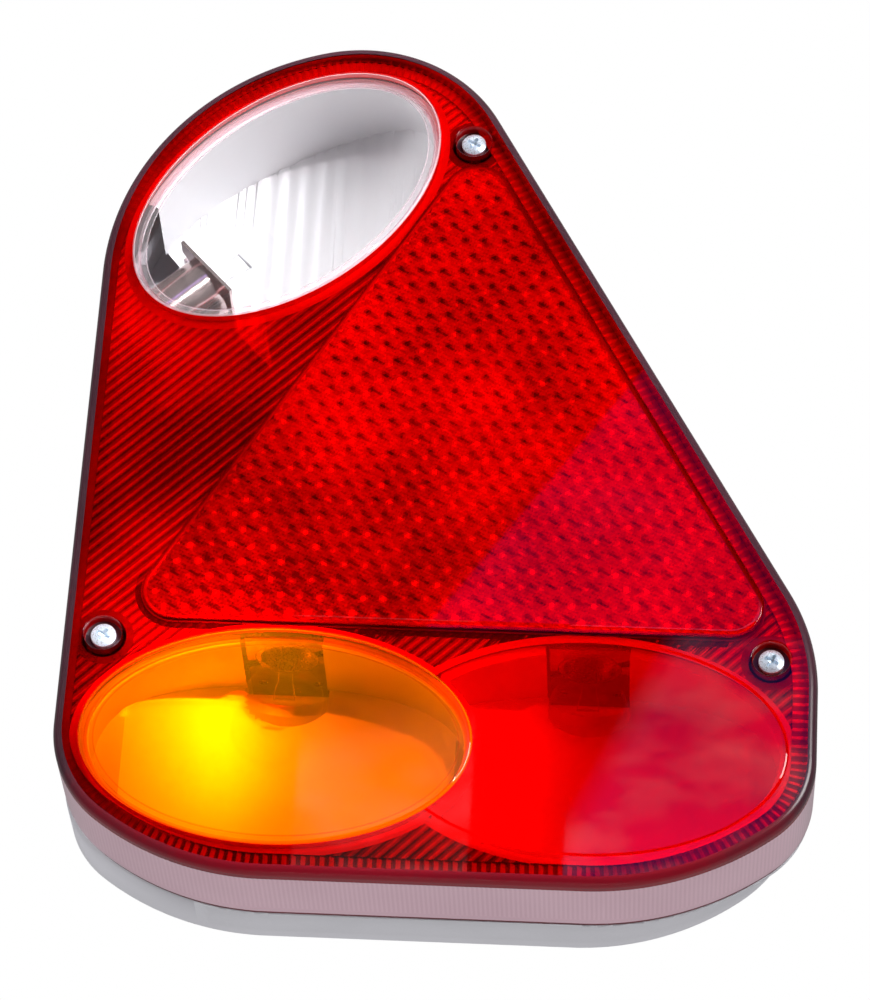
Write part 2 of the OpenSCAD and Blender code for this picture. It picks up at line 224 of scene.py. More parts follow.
def metal(name, colour, rough=0.3, brushed=None, metallic=1.0, dull_and_shade=0.08):
    """Metal with a brushed or tumbled grain and darker patches, partly duller metal and partly painted
    reflection.
    """
    material, tree = new_material(name)
    grain = noise(tree, 2400.0, 3.0, 0.6, brushed)
    shade = spread(tree, noise(tree, 120.0, 3.0), 1.0 - dull_and_shade, 1.0)
    output(tree, add(tree, "BsdfPrincipled", {
        "Base Color": shaded(tree, colour, shade), "Metallic": metallic,
        "Roughness": spread(tree, grain, rough * 0.7, rough * 1.3), "Normal": bump(tree, grain, 0.004 * MM),
    }))
    return material


# ---- materials ----

RED_CLEAR = clear_plastic("lens_red_clear", (0.98, 0.012, 0.02), rough=0.015)
RED_WINDOW = clear_plastic("stop_window", (1, 0.02, 0.03), haze=0.20, haze_colour=(0.80, 0, 0.01))
AMBER = clear_plastic("amber_clear", (1, 0.60, 0.05), haze=0.03, haze_colour=(1, 0.40, 0),
                      tone_tint=(1, 0.42, 0.02), tone_haze=0.14)
CLEAR = clear_plastic("window_clear", (0.985, 0.985, 0.99), haze=0.01, haze_colour=(0.95, 0.90, 0.93),
                      tone_tint=(0.98, 0.75, 0.80), tone_haze=0.4)
GLASS = clear_plastic("bulb_glass", (0.985, 0.985, 0.99), ior=1.12)
# The ribs' tone ramp carries painted light and shade, from dark to bright red.
RIBS = toned_plastic("lens_ribs", [
    (0, (0.07, 0, 0.001)), (0.5, (0.36, 0, 0.001)), (1, (0.9, 0.001, 0.001)),
], see_through=0.25, tint=(0.9, 0, 0))
# Painted light: the flat red rings round the windows, bright as if lit through by the bowls.
GLOW = toned_plastic("lens_red_bright", [
    (0, (0.25, 0, 0)), (0.5, (0.85, 0, 0)), (1, (1, 0.16, 0)),
], see_through=0.3, mottle=0.08)
PRISM = toned_plastic("reflex_prisms", [
    (0, (0.07, 0, 0)), (0.30, (0.26, 0, 0)), (0.55, (0.50, 0, 0)),
    (0.8, (0.80, 0.01, 0)), (1, (1, 0.5, 0.15)),
], mottle=0.13, coat=0.1)
EDGE = toned_plastic("lens_edge_dark", [
    (0, (0.028, 0.012, 0.017)), (0.5, (0.060, 0.020, 0.030)), (1, (0.24, 0.006, 0.016)),
], rough=0.24, mottle=0.12, coat=0.12)
TRAY = moulded("reflex_tray_red", (0.20, 0.004, 0.012), rough=0.35, vary=0.2)
GREY = moulded("base_grey", (0.61, 0.60, 0.645), rough=0.42, vary=0.03, coat=0.1)
SEAL = moulded("seal_rubber", (0.10, 0.012, 0.018), rough=0.6, vary=0.3)
BLACK_RUBBER = moulded("black_rubber", (0.018, 0.018, 0.02), rough=0.6, vary=0.2)
ZINC = metal("zinc_plated", (0.74, 0.85, 0.97), rough=0.30, metallic=0.45, dull_and_shade=0.25)
# The holders' pink tint partly paints the red light that the lens throws on them.
HOLDER_STEEL = metal("holder_steel", (0.95, 0.76, 0.74), rough=0.14, metallic=0.82, dull_and_shade=0.45)
BRASS = metal("conductor_brass", (0.80, 0.60, 0.27), rough=0.3, brushed=(12, 1, 1))
BULB_BRASS = metal("bulb_brass", (0.72, 0.62, 0.45), rough=0.3)
TUNGSTEN = metal("filament_wire", (0.35, 0.35, 0.37), rough=0.45)
BROWN = moulded("insulator_brown", (0.17, 0.075, 0.03), rough=0.5, vary=0.25)
IVORY = moulded("terminal_plastic", (0.75, 0.72, 0.62), rough=0.5)


def wall_material():
    """The lens's side wall: rosy red face on, and a pale sheen where it is seen at a slant."""
    material, tree = new_material("lens_wall_sheen")
    slow = spread(tree, noise(tree, 30.0, 3.0), -0.12, 0.12)
    value = maths(tree, "ADD", face_tone(tree), slow, clamp=True)
    deep = ramp(tree, value, [(0.0, (0.30, 0.02, 0.035)), (1.0, (0.52, 0.06, 0.09))])
    pale = ramp(tree, value, [(0.0, (0.52, 0.31, 0.38)), (1.0, (0.76, 0.52, 0.60))])
    slant = add(tree, "LayerWeight", {"Blend": 0.5}, "Facing")
    share = spread(tree, slant, 0.0, 1.0, 0.12, 0.50)
    colour = add(tree, "Mix", {0: share, 6: deep, 7: pale}, out=2, data_type="RGBA")
    output(tree, add(tree, "BsdfPrincipled", {
        "Base Color": colour, "Roughness": 0.3, "Coat Weight": 0.5, "Coat Roughness": 0.06,
    }))
    return material


def bowl_material():
    """Silvery white reflector: a satin metallised coat over white plastic. Tone darkens it with painted
    shade.
    """
    material, tree = new_material("bowl_silver")
    slow = spread(tree, noise(tree, 25.0, 3.0), 0.94, 1.0)
    level = maths(tree, "MULTIPLY", slow, maths(tree, "SUBTRACT", 1.0, face_tone(tree)))
    white = shaded(tree, (0.86, 0.86, 0.88), level)
    matt = add(tree, "BsdfDiffuse", {"Color": white})
    satin = add(tree, "BsdfGlossy", {"Color": (0.95, 0.95, 0.96), "Roughness": 0.42})
    output(tree, mix_shader(tree, 0.3, matt, satin))
    return material


WALL = wall_material()
BOWL = bowl_material()

# ---- frame values, in millimetres ----

shell_low, shell_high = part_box("lens_shell")
base_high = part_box("base_housing")[1]
FACE_Y = shell_low.y
BASE_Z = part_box("reflex_prism")[0].z
LEFT_X = shell_low.x / MM
RIGHT_X = shell_high.x / MM
BOTTOM_Z = (shell_low.z - BASE_Z) / MM
LENS_DEPTH = (shell_high.y - FACE_Y) / MM
LAMP_DEPTH = (base_high.y - FACE_Y) / MM


def unit(degrees):
    return np.array([math.cos(math.radians(degrees)), math.sin(math.radians(degrees))])


def square_to(way):
    return np.array([-way[1], way[0]])


def middle(node):
    """Middle of a node's box as (x, z) on the face."""
    low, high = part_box(node)
    return np.array([(low.x + high.x) / 2 / MM, ((low.z + high.z) / 2 - BASE_Z) / MM])


SCREWS = [middle("lens_screw_" + side) for side in ("top", "left", "right")]
INDICATOR_C = middle("window_indicator")
REVERSE_C = middle("window_reverse")
REVERSE_TILT = 43.7
STOP_C = np.array([33.4, INDICATOR_C[1]])
# For each lamp, the foot of its bulb and the way the bulb points.
LAMPS = {
    "reverse": (REVERSE_C - 26.5 * unit(REVERSE_TILT), unit(REVERSE_TILT)),
    "indicator": (np.array([-39.6, -2.5]), unit(-90)),
    "stop": (np.array([33.2, -2.5]), unit(-90)),
}
BULB_DEPTH = 16.0
FACE_T = 2.5
WALL_T = 3.0
STUDS = [np.array([-50.0, 30.0]), np.array([50.0, 30.0])]
CABLE = middle("cable_grommet")


# ---- outlines ----

def outline_arcs(right, corners):
    """Centre, radius, start and end angle of each arc of the lamp's outline, clockwise."""
    slant, crown_r, shoulder_r, crown_end, hip_r = 75.75, 69.0, 40.0, 105.0, 52.0
    crown = np.array([LEFT_X + crown_r, 0.0])
    shoulder = crown + (crown_r - shoulder_r) * unit(crown_end)
    cos30, sin30 = unit(30)
    lift = np.array([0.0, (slant - shoulder_r - shoulder @ unit(30)) / sin30])
    hip_x = right - hip_r
    hip_z = (slant - (RIGHT_X - right) - hip_r - hip_x * cos30) / sin30
    right_small, right_big, left_small, left_big = corners
    right_turn, left_turn = -52.0, -127.0

    def low_corner(x, small, big, turn):
        """Centres of a lower corner's small and big arc, which meet at the angle turn."""
        small_c = np.array([x, 0.0])
        big_c = small_c + (small - big) * unit(turn)
        rise = np.array([0.0, BOTTOM_Z + big - big_c[1]])
        return small_c + rise, big_c + rise

    right_c, right_big_c = low_corner(right - right_small, right_small, right_big, right_turn)
    left_c, left_big_c = low_corner(LEFT_X + left_small, left_small, left_big, left_turn)
    return [
        (crown + lift, crown_r, 180.0, crown_end),
        (shoulder + lift, shoulder_r, crown_end, 30.0),
        (np.array([hip_x, hip_z]), hip_r, 30.0, 0.0),
        (right_c, right_small, 0.0, right_turn),
        (right_big_c, right_big, right_turn, -90.0),
        (left_big_c, left_big, -90.0, left_turn),
        (left_c, left_small, left_turn, -180.0),
    ]


def triangle_arcs(side=160.0, corner=8.0):
    inset = corner / unit(30)[1]
    reach = side / 2 - inset * unit(30)[0]
    return [
        (np.array([0.0, side * unit(60)[1] - inset]), corner, 150.0, 30.0),
        (np.array([reach, corner]), corner, 30.0, -90.0),
        (np.array([-reach, corner]), corner, -90.0, -210.0),
    ]


def trace(arcs, step):
    """Points and outward normals along a closed chain of arcs and straight sides."""
    points, normals = [], []
    for k, (centre, radius, start, end) in enumerate(arcs):
        after = arcs[(k + 1) % len(arcs)]
        count = max(3, round(abs(math.radians(end - start)) * radius / step))
        for i in range(count):
            angle = start + (end - start) * i / count
            points.append(centre + radius * unit(angle))
            normals.append(unit(angle))
        here = centre + radius * unit(end)
        gap = after[0] + after[1] * unit(after[2]) - here
        length = np.linalg.norm(gap)
        if length > 0.01:
            count = max(1, round(length / step))
            for i in range(count):
                points.append(here + gap * i / count)
                normals.append(unit(end))
    return np.array(points), np.array(normals)


def oval(centre, a, b, tilt=0.0, count=160):
    t = np.linspace(0, 2 * math.pi, count, endpoint=False)
    along, across = a * np.cos(t), b * np.sin(t)
    c, s = unit(tilt)
    return np.stack([centre[0] + along * c - across * s, centre[1] + along * s + across * c], 1)


def window_oval(centre, a, b, tilt=0.0):
    """Function for the outline of a window, moved outwards by off."""
    return lambda off=0.0, count=160: oval(centre, a + off, b + off, tilt, count)


reverse_oval = window_oval(REVERSE_C, 44.7, 27.8, REVERSE_TILT)
indicator_oval = window_oval(INDICATOR_C, 46.5, 28.2)
stop_oval = window_oval(STOP_C, 47.4, 28.2)


def circle(centre, radius, count=48):
    return oval(centre, radius, radius, 0.0, count)


def spokes(count):
    """Angles of a full turn, and unit vectors at them."""
    angles = np.linspace(0, 2 * math.pi, count, endpoint=False)
    return angles, np.column_stack([np.cos(angles), np.sin(angles)])


def away(points, place):
    """Distance of each point from a place."""
    return np.hypot(*(points - place).T)


def inside(loop, points):
    """Which points lie inside a closed loop."""
    x, z = points.T
    found = np.zeros(len(points), bool)
    for p, q in zip(loop, np.roll(loop, -1, axis=0)):
        if p[1] != q[1]:
            crosses = (z < p[1]) != (z < q[1])
            found ^= crosses & (x < p[0] + (z - p[1]) / (q[1] - p[1]) * (q[0] - p[0]))
    return found


def inside_any(loops, points):
    return np.any([inside(loop, points) for loop in loops], axis=0)


# ---- mesh building ----

class Shape:
    """Collects points (x, z, depth) in millimetres and faces with a material and a tone."""

    def __init__(self):
        self.points, self.faces, self.slots, self.tones, self.smooth = [], [], [], [], []
        self.count = 0

    def put(self, points, faces, slot=0, tone=0.5, smooth=False):
        count = len(faces)
        self.points.append(np.asarray(points, float))
        self.faces += [[int(i) + self.count for i in face] for face in faces]
        self.tones += np.broadcast_to(tone, (count,)).tolist()
        self.slots += np.broadcast_to(slot, (count,)).tolist()
        self.smooth += [smooth] * count
        self.count += len(points)

    def rings(self, rings, slot=0, tone=0.5, smooth=True, skip=None):
        """Quads between rings of equal count. tone may be one value per column."""
        n = len(rings[0])
        columns = [i for i in range(n) if skip is None or not skip[i]]
        faces = [(r + i, r + (i + 1) % n, r + n + (i + 1) % n, r + n + i)
                 for r in range(0, (len(rings) - 1) * n, n) for i in columns]
        tones = np.tile(np.broadcast_to(tone, (n,))[columns], len(rings) - 1)
        self.put(np.concatenate(rings), faces, slot, tones, smooth)

    def cap(self, ring, peak, tone=0.5):
        """Closes a ring with a fan of triangles about a point."""
        n = len(ring)
        self.put(np.concatenate([ring, [peak]]), [(i, (i + 1) % n, n) for i in range(n)], tone=tone)

    def walls(self, points, depth, edges, level, slot, tone=0.5):
        """Upright strips from edges of a sheet at its own depth to a level."""
        used, back = np.unique(edges, return_inverse=True)
        back = back.reshape(edges.shape)
        low = lifted(points[used], np.broadcast_to(depth, (len(points),))[used])
        high = lifted(points[used], level)
        n = len(used)
        self.put(np.concatenate([low, high]), [(i, j, n + j, n + i) for i, j in back], slot, tone)


def lifted(flat, depth):
    """Points of a flat loop at a depth, which may be one value or one per point."""
    return np.column_stack([flat, np.broadcast_to(depth, (len(flat),))])


SLIVER = 2e-4


def sheet(loops, holes=(), marks=(), lines=(), dots=(), opening=None):
    """Triangulated sheet inside the first loop and outside the holes, with each face's centre.

    The other loops, marks, lines and dots only shape its faces, and opening says which places
    stay open. Slivers are left out.
    """
    coords, edges = [], []
    for loop in (*loops, *holes, *marks):
        start = len(coords)
        coords += [Vector(p) for p in loop]
        edges += [(start + i, start + (i + 1) % len(loop)) for i in range(len(loop))]
    for p, q in lines:
        edges.append((len(coords), len(coords) + 1))
        coords += [Vector(p), Vector(q)]
    coords += [Vector(p) for p in dots]
    found = delaunay_2d_cdt(coords, edges, [], 0, 1e-4)
    points = np.array([(v.x, v.y) for v in found[0]])
    faces = np.array([f for f in found[2] if len(f) == 3])
    centres = points[faces].mean(1)
    a, b = points[faces[:, 1]] - points[faces[:, 0]], points[faces[:, 2]] - points[faces[:, 0]]
    mask = np.abs(a[:, 0] * b[:, 1] - a[:, 1] * b[:, 0]) > SLIVER
    mask &= inside(loops[0], centres) & ~inside_any(holes, centres)
    if opening:
        mask &= ~opening(centres)
    used, back = np.unique(faces[mask], return_inverse=True)
    return points[used], back.reshape(-1, 3), centres[mask]


def rim_edges(faces):
    """Edges that only one triangle uses."""
    edges = np.concatenate([faces[:, [0, 1]], faces[:, [1, 2]], faces[:, [2, 0]]])
    _, first, counts = np.unique(np.sort(edges, axis=1), axis=0, return_index=True, return_counts=True)
    return edges[first[counts == 1]]


WELD = 2e-6


def build(name, shape, materials, body, slot, node=None, angle=None):
    """Makes a Shape into a riding piece, in metres, with outward normals."""
    x, z, depth = np.concatenate(shape.points).T * MM
    metres = np.column_stack([x, FACE_Y + depth, BASE_Z + z])
    mesh = bpy.data.meshes.new(name)
    mesh.from_pydata(metres.tolist(), [], shape.faces)
    mesh.polygons.foreach_set("material_index", shape.slots)
    mesh.polygons.foreach_set("use_smooth", shape.smooth)
    tone = mesh.attributes.new("tone", "FLOAT", "FACE")
    tone.data.foreach_set("value", shape.tones)
    for m in materials:
        mesh.materials.append(m)
    bm = bmesh.new()
    bm.from_mesh(mesh)
    bmesh.ops.remove_doubles(bm, verts=bm.verts, dist=WELD)
    bmesh.ops.recalc_face_normals(bm, faces=bm.faces)
    bm.to_mesh(mesh)
    bm.free()
    piece = new_object(name, mesh)
    if angle:
        mesh.set_sharp_from_angle(angle=math.radians(angle))
    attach(piece, body)
    if node:
        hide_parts(node)


# ---- lens shell ----

RIB_PITCH = 2.2
RIB_HEIGHT = 0.55
# Painted light and shade across each rib, one tone per quarter of its pitch.
RIB_TONES = (0.12, 0.36, 0.64, 0.40)
RIB_HEIGHTS = (0.0, 0.6, 1.0, 0.6)
BAND = 1.6
BAND_DEPTH = 1.3
EDGE_R = 2.2
RECESS_R = 4.9
PILLAR_R = 5.4
BORE_R = 1.75
HEAD_BACK = 3.0
COLLAR_R = 7.2
GLOW_BAND = 2.2
STOP_BAND = 2.0
NEAR = 0.05
# The lens's material slots.
FRONT, RIBBED, BRIGHT, STOP_WINDOW, DARK_EDGE, SIDE = range(6)
rim, rim_out = trace(outline_arcs(RIGHT_X, (24.0, 72.0, 29.4, 66.7)), 0.55)
tri, tri_out = trace(triangle_arcs(), 2.0)

# How far each point of the outline faces these ways, and how wide its ribbed border is.
LEFTWARD = np.clip(-rim_out[:, 0], 0, 1) ** 4
UPWARD = np.clip(rim_out[:, 1], 0, 1) ** 2
RIGHTWARD = np.clip(rim_out @ np.array([0.87, 0.5]), 0, 1) ** 3
DOWNWARD = np.clip(-rim_out[:, 1], 0, 1) ** 2
BORDER_IN = (5.9 - 2.2 * LEFTWARD)[:, None]


def tri_at(off):
    """The reflector's outline, moved outwards by off."""
    return tri + tri_out * off


def rib_phase(points):
    """Place across a diagonal rib, in quarters, and the quarter it lies in."""
    phase = ((points[:, 0] - points[:, 1]) * math.sqrt(0.5) / RIB_PITCH * 4) % 4
    return phase, np.floor(phase).astype(int) % 4


def rib_height(points):
    phase, low = rib_phase(points)
    share = phase - np.floor(phase)
    heights = np.array(RIB_HEIGHTS)
    return RIB_HEIGHT * (heights[low] * (1 - share) + heights[(low + 1) % 4] * share)


def bells(points, *spots):
    """Soft bumps of light on the face. Each is its strength, its place and its reach."""
    return sum(level * np.exp(-(((points - place) / reach) ** 2).sum(1)) for level, place, reach in spots)


def rib_light(points):
    """Painted light and shade on the ribs: how much lighter or darker they are than their mean, from place to
    place.
    """
    x, z = points.T
    light = bells(points, (0.55, (-82, 90), (16, 20)), (0.38, (-66, 84), (11, 24)),
                  (0.25, (-72, 20), (22, 14)), (-0.14, (-60, 50), (26, 14)), (0.25, (60, 35), (14, 40)))
    # Painted light towards the top.
    light += 0.40 * np.clip((z - 118) / 16, 0, 1)
    # Painted shadow under the reflector's lower edge and beside its lower-left corner.
    under = (z < 0.5) & (z > -3.0) & (x > -34) & (x < 66)
    corner = inside(tri_at(2.0), points) & (x < -45) & (z < 14)
    return light - 0.7 * under - 0.8 * corner * np.clip((14 - z) / 8, 0, 1)


def glow_light(points):
    """Tone of the bright rings round the windows, which paint the bowls' light: a painted orange glow below
    the clear one, and painted shade by its holder.
    """
    along = LAMPS["reverse"][1]
    turned = (points - REVERSE_C) @ np.column_stack([along, -square_to(along)])
    return (0.5 + bells(turned, (0.35, (0, 29), (22, 5)))
            - bells(points, (0.5, (-64, 92), (4, 4)), (0.5, (-82, 97), (4, 6))))


def lens_face(shape):
    """Smooth front, ribbed underside, and the walls of the openings between them."""
    holes = [reverse_oval(), indicator_oval(), tri]
    grooves = [stop_oval(), stop_oval(-0.4), stop_oval(-0.8)]
    recesses = [circle(p, RECESS_R) for p in SCREWS]
    points, faces, _ = sheet([rim - rim_out * EDGE_R], holes + recesses, grooves)
    ring = np.hypot(*((points - STOP_C) / (47.0, 27.8)).T)
    groove = 0.10 * np.clip(1 - np.abs(ring - 1.0) / 0.008, 0, 1)
    shape.put(lifted(points, groove), faces, slot=FRONT)

    zones = [reverse_oval(GLOW_BAND), indicator_oval(GLOW_BAND), stop_oval(), stop_oval(STOP_BAND),
             tri_at(0.8), tri_at(2.0)]
    pillars = [circle(p, PILLAR_R) for p in SCREWS]
    collars = [circle(p, COLLAR_R) for p in SCREWS]
    quarter = RIB_PITCH / 4 * math.sqrt(2)
    low, high = -120.0, 200.0
    lines = [((i * quarter + low, low), (i * quarter + high, high)) for i in range(-420, 420)]
    border = rim - rim_out * BORDER_IN
    points, faces, centres = sheet([border], holes + pillars, zones + collars, lines)
    window = inside(stop_oval(), centres)
    glow = inside_any([zones[0], zones[1], zones[3]], centres) & ~window
    flat = inside_any([stop_oval(NEAR), reverse_oval(GLOW_BAND + NEAR), indicator_oval(GLOW_BAND + NEAR),
                       stop_oval(STOP_BAND + NEAR)], points)
    for p in SCREWS:
        flat |= away(points, p) < COLLAR_R + NEAR
    depth = FACE_T + np.where(flat, 0.0, rib_height(points))
    tone = np.array(RIB_TONES)[rib_phase(centres)[1]] + rib_light(centres)
    tone = np.where(inside_any(collars, centres), 0.24, tone)
    slots = np.where(window, STOP_WINDOW, np.where(glow, BRIGHT, RIBBED))
    shape.put(lifted(points, depth), faces, slot=slots, tone=np.where(glow, glow_light(centres), tone))
    edges = rim_edges(faces)
    middles = points[edges].mean(1)
    left = np.ones(len(edges), bool)
    for outline, slot in ((reverse_oval, BRIGHT), (indicator_oval, BRIGHT), (tri_at, FRONT)):
        here = inside(outline(0.3), middles) & ~inside(outline(-0.3), middles)
        shape.walls(points, depth, edges[here], 0.0, slot, tone=0.4)
        left &= ~here
    shape.walls(points, depth, edges[left], FACE_T - 0.2, RIBBED)


def lens_rim(shape):
    """Rounded edge, side wall with its fine ribs, lip, and the ribbed border under the face."""
    columns = np.arange(len(rim))
    fine = columns % 2
    wobble = (fine * 0.03)[:, None]

    def ring(inset, depth):
        return lifted(rim - rim_out * inset, depth)

    turns = [unit(angle) for angle in np.linspace(0, 90, 9)]
    rounding = [ring(EDGE_R * (1 - s), EDGE_R * (1 - c)) for c, s in turns]
    shape.rings(rounding, slot=DARK_EDGE, tone=0.4 + 0.6 * DOWNWARD)
    wall = [ring(0.0, EDGE_R), ring(wobble, EDGE_R + 0.5), ring(wobble, EDGE_R + 1.6),
            ring(wobble, LENS_DEPTH - 3.2)]
    shape.rings(wall[:3], slot=DARK_EDGE, tone=0.9, smooth=False)
    # Alternate columns get painted light and shade: stripes over the wall's fine ribs.
    shape.rings(wall[2:], slot=SIDE, tone=np.where(fine, 0.38, 0.62), smooth=False)
    lip = [wall[-1], ring(0.0, LENS_DEPTH - 2.9), ring(0.0, LENS_DEPTH - 1.0), ring(0.3, LENS_DEPTH),
           ring(WALL_T, LENS_DEPTH)]
    shape.rings(lip[:3], slot=SIDE, tone=0.45)
    shape.rings(lip[2:], slot=DARK_EDGE, tone=0.95)
    shape.rings([lip[-1], ring(WALL_T, FACE_T)], slot=DARK_EDGE, smooth=False)
    crest = np.array([0.0, 0.5, 1.0, 0.5])[columns % 4] * (1 - LEFTWARD)
    ribbed = FACE_T + 0.5 * crest
    # Painted light and shade on the ribbed border: lighter where the outline faces up or right, darker where
    # it faces left or down, and lighter on each rib's crest.
    low_tone = 0.46 + 0.40 * np.maximum(UPWARD, RIGHTWARD) - 0.08 * LEFTWARD - 0.30 * DOWNWARD
    tone = low_tone + (0.9 - low_tone) * crest * (1 - 0.75 * DOWNWARD)
    under = [ring(BAND, BAND_DEPTH), ring(BAND + 0.1, ribbed), ring(BORDER_IN, ribbed),
             ring(BORDER_IN, FACE_T - 0.2)]
    # Painted light on the right lifts the shade on the border's first step.
    shape.rings(under[:2], slot=RIBBED, tone=np.minimum(tone + 0.35 * RIGHTWARD, 1.0), smooth=False)
    shape.rings(under[1:], slot=RIBBED, tone=tone, smooth=False)
    shape.rings([ring(0.25, BAND_DEPTH), ring(BAND, BAND_DEPTH)], slot=DARK_EDGE)


def screw_recesses(shape):
    """Round recess for each screw head, its pillar and the bore through it."""
    profile = [(RECESS_R, 0.0), (4.72, 0.03), (4.6, 0.12), (4.6, 2.8), (4.4, HEAD_BACK), (BORE_R, HEAD_BACK),
               (BORE_R, LENS_DEPTH), (5.2, LENS_DEPTH), (5.3, 6.0), (PILLAR_R, FACE_T)]
    for p in SCREWS:
        rings = [lifted(circle(p, r), d) for r, d in profile]
        shape.rings(rings[:3], slot=FRONT)
        shape.rings(rings[2:5], slot=RIBBED, tone=0.42)
        shape.rings(rings[4:6], slot=DARK_EDGE, tone=0.2, smooth=False)
        shape.rings(rings[5:], slot=DARK_EDGE, tone=0.6)


lens = Shape()
lens_face(lens)
lens_rim(lens)
screw_recesses(lens)
build("lens_shell_ribbed", lens, [RED_CLEAR, RIBS, GLOW, RED_WINDOW, EDGE, WALL], "lens", "lens_red",
      "lens_shell")


# ---- windows ----

def window(name, loop_at, centre, material, slot_name, node):
    """Clear plate with a softened edge and a welded ring on its underside."""
    thick, ring_high, step = 2.2, 3.4, 2.5
    profile = [(-1.2, 0.0), (-0.6, 0.05), (-0.2, 0.3), (-0.05, 0.7), (-0.05, thick), (-1.2, thick),
               (-1.25, ring_high), (-1.9, ring_high), (-1.95, thick), (-3.2, thick), (-3.25, step),
               (-3.5, step), (-3.55, thick), (-6.0, thick)]
    # The tones paint tinted, hazier rings along the rim: painted highlights of its edges.
    tones = (0.0, 0.9, 0.9, 0.6, 0.35, 1.0, 0.9, 1.0, 0.25, 0.6, 0.9, 0.6, 0.0)
    shape = Shape()
    rings = [lifted(loop_at(off), depth) for off, depth in profile]
    for k, tone in enumerate(tones):
        shape.rings(rings[k:k + 2], tone=tone, smooth=k < 3)
    shape.cap(rings[0], [*centre, 0.0], tone=0.0)
    shape.cap(rings[-1], [*centre, thick], tone=0.0)
    build(name, shape, [material], "lens", slot_name, node)


window("window_reverse_plate", reverse_oval, REVERSE_C, CLEAR, "lens_clear", "window_reverse")
window("window_indicator_plate", indicator_oval, INDICATOR_C, AMBER, "lens_amber", "window_indicator")


# ---- triangular reflex reflector ----

CELL = 5.0
CUBE_H = 0.22
PRISM_DEPTH = 1.8
EDGE_A = np.array([0.0, CELL / math.sqrt(3)])
EDGE_B = np.array([CELL / 2, CELL / math.sqrt(3) / 2])


def cube_level(points):
    """Level from 0 to 2 of a sheet of cube corners over the lattice of EDGE_A and EDGE_B."""
    v = points[:, 0] / EDGE_B[0]
    u = (points[:, 1] - v * EDGE_B[1]) / EDGE_A[1]
    iu, iv = np.floor(u + 1e-6), np.floor(v + 1e-6)
    fu, fv = u - iu, v - iv
    a, b, c = (iu - iv) % 3, (iu + 1 - iv) % 3, (iu - iv - 1) % 3
    lower = a * (1 - fu - fv) + b * fu + c * fv
    upper = a * (fu + fv - 1) + b * (1 - fv) + c * (1 - fu)
    return np.where(fu + fv <= 1, lower, upper)


def dab(points, place, spans):
    """Sharp bump about a place. spans are its squared widths."""
    return np.exp(-((points - place) ** 2 / spans).sum(1))


def reflex_tone(points):
    """Bright red with a painted dark spot and a painted glint in each cell: the dark spots heavier above, the
    glints brighter below.
    """
    random = np.random.default_rng(7)
    tone = 0.53 + random.uniform(-0.06, 0.06, len(points))
    # Painted shade over the lower left, and faint painted light in the middle.
    tone += bells(points, (-0.29, (-56, 10), (44, 26)), (-0.12, (-62, 6), (16, 12)),
                  (0.07, (-5, 50), (30, 24)))
    lean = (points[:, 1] + 0.36 * points[:, 0]) / 1.08
    tone -= 0.16 * (np.abs(lean - np.round(lean)) < 0.17) * random.uniform(0.3, 1.0, len(points))
    for row in range(-2, 34):
        for column in range(-18, 19):
            dark_spot = np.array([(column + 0.5 * (row % 2)) * CELL, row * CELL * math.sqrt(0.75)])
            dark, bright, streak = random.uniform(0.0, 1.0, 3)
            jitter = random.uniform(-0.35, 0.35, 4)
            near = np.abs(points - dark_spot).max(1) < 4.0
            if not near.any():
                continue
            # The painted shade on the dark spots grows towards the top, where the painted glints fade; the
            # glints are stronger on the left.
            height = np.clip((dark_spot[1] - 25) / 70 - 0.2 * math.sin(dark_spot[0] * 0.05), 0, 1)
            left = np.clip(0.5 - dark_spot[0] / 60, 0, 1)
            q = points[near]
            tone[near] -= (0.12 + 0.38 * height + 0.16 * dark) * dab(q, dark_spot + jitter[:2], [0.8, 0.55])
            spark = dark_spot + [-1.3, -1.35] + jitter[2:]
            glint = (1.0 - 0.5 * height) * (0.75 + 0.25 * left)
            tone[near] += (0.30 + 0.10 * bright) * glint * dab(q, spark, [1.0, 0.6])
            tone[near] += bright ** 2 * glint * dab(q, spark, [0.3, 0.25])
            across = (q - dark_spot - [1.5, -1.0]) @ np.array([[0.94, 0.34], [-0.34, 0.94]])
            tone[near] -= (0.12 + 0.22 * streak) * dab(across, 0.0, [2.2, 0.18])
    return tone


def reflex():
    """Smooth triangular front over a field of cube corners."""
    shape = Shape()
    front = [(-1.4, 0.3), (-0.5, 0.32), (-0.2, 0.42), (-0.05, 0.7), (-0.05, PRISM_DEPTH), (-0.9, PRISM_DEPTH)]
    rings = [lifted(tri_at(off), depth) for off, depth in front]
    shape.rings(rings[:5], slot=0)
    shape.rings(rings[4:], slot=1, tone=0.3)
    shape.cap(rings[0], [0.0, 46.0, 0.3])
    parts = 4
    u, v = np.meshgrid(np.arange(-180, 360), np.arange(-140, 141))
    dots = (u[..., None] * EDGE_A + v[..., None] * EDGE_B).reshape(-1, 2) / parts
    points, faces, centres = sheet([tri_at(-0.9)], dots=dots[inside(tri_at(-1.3), dots)])
    depth = PRISM_DEPTH + np.where(inside(tri_at(-1.1), points), CUBE_H * cube_level(points), 0.0)
    shape.put(lifted(points, depth), faces, slot=1, tone=reflex_tone(centres))
    build("reflex_cube_corners", shape, [RED_CLEAR, PRISM], "lens", "reflex_red", "reflex_prism")


reflex()


# ---- reflector bowls ----

STRAIGHT_R, STRAIGHT_FLOOR = 75.0, 27.5
FLUTED_R, FLUTED_FLOOR, FLUTE_PITCH, FLUTE_RISE = 52.0, 33.0, 4.8, 0.42
TROUGH_R, TROUGH_END = 14.7, 16.4
HOLDER_HALF, HOLDER_DROP = 9.75, 4.5
BOWL_IN = -2.2
WALL_TOP = 4.6


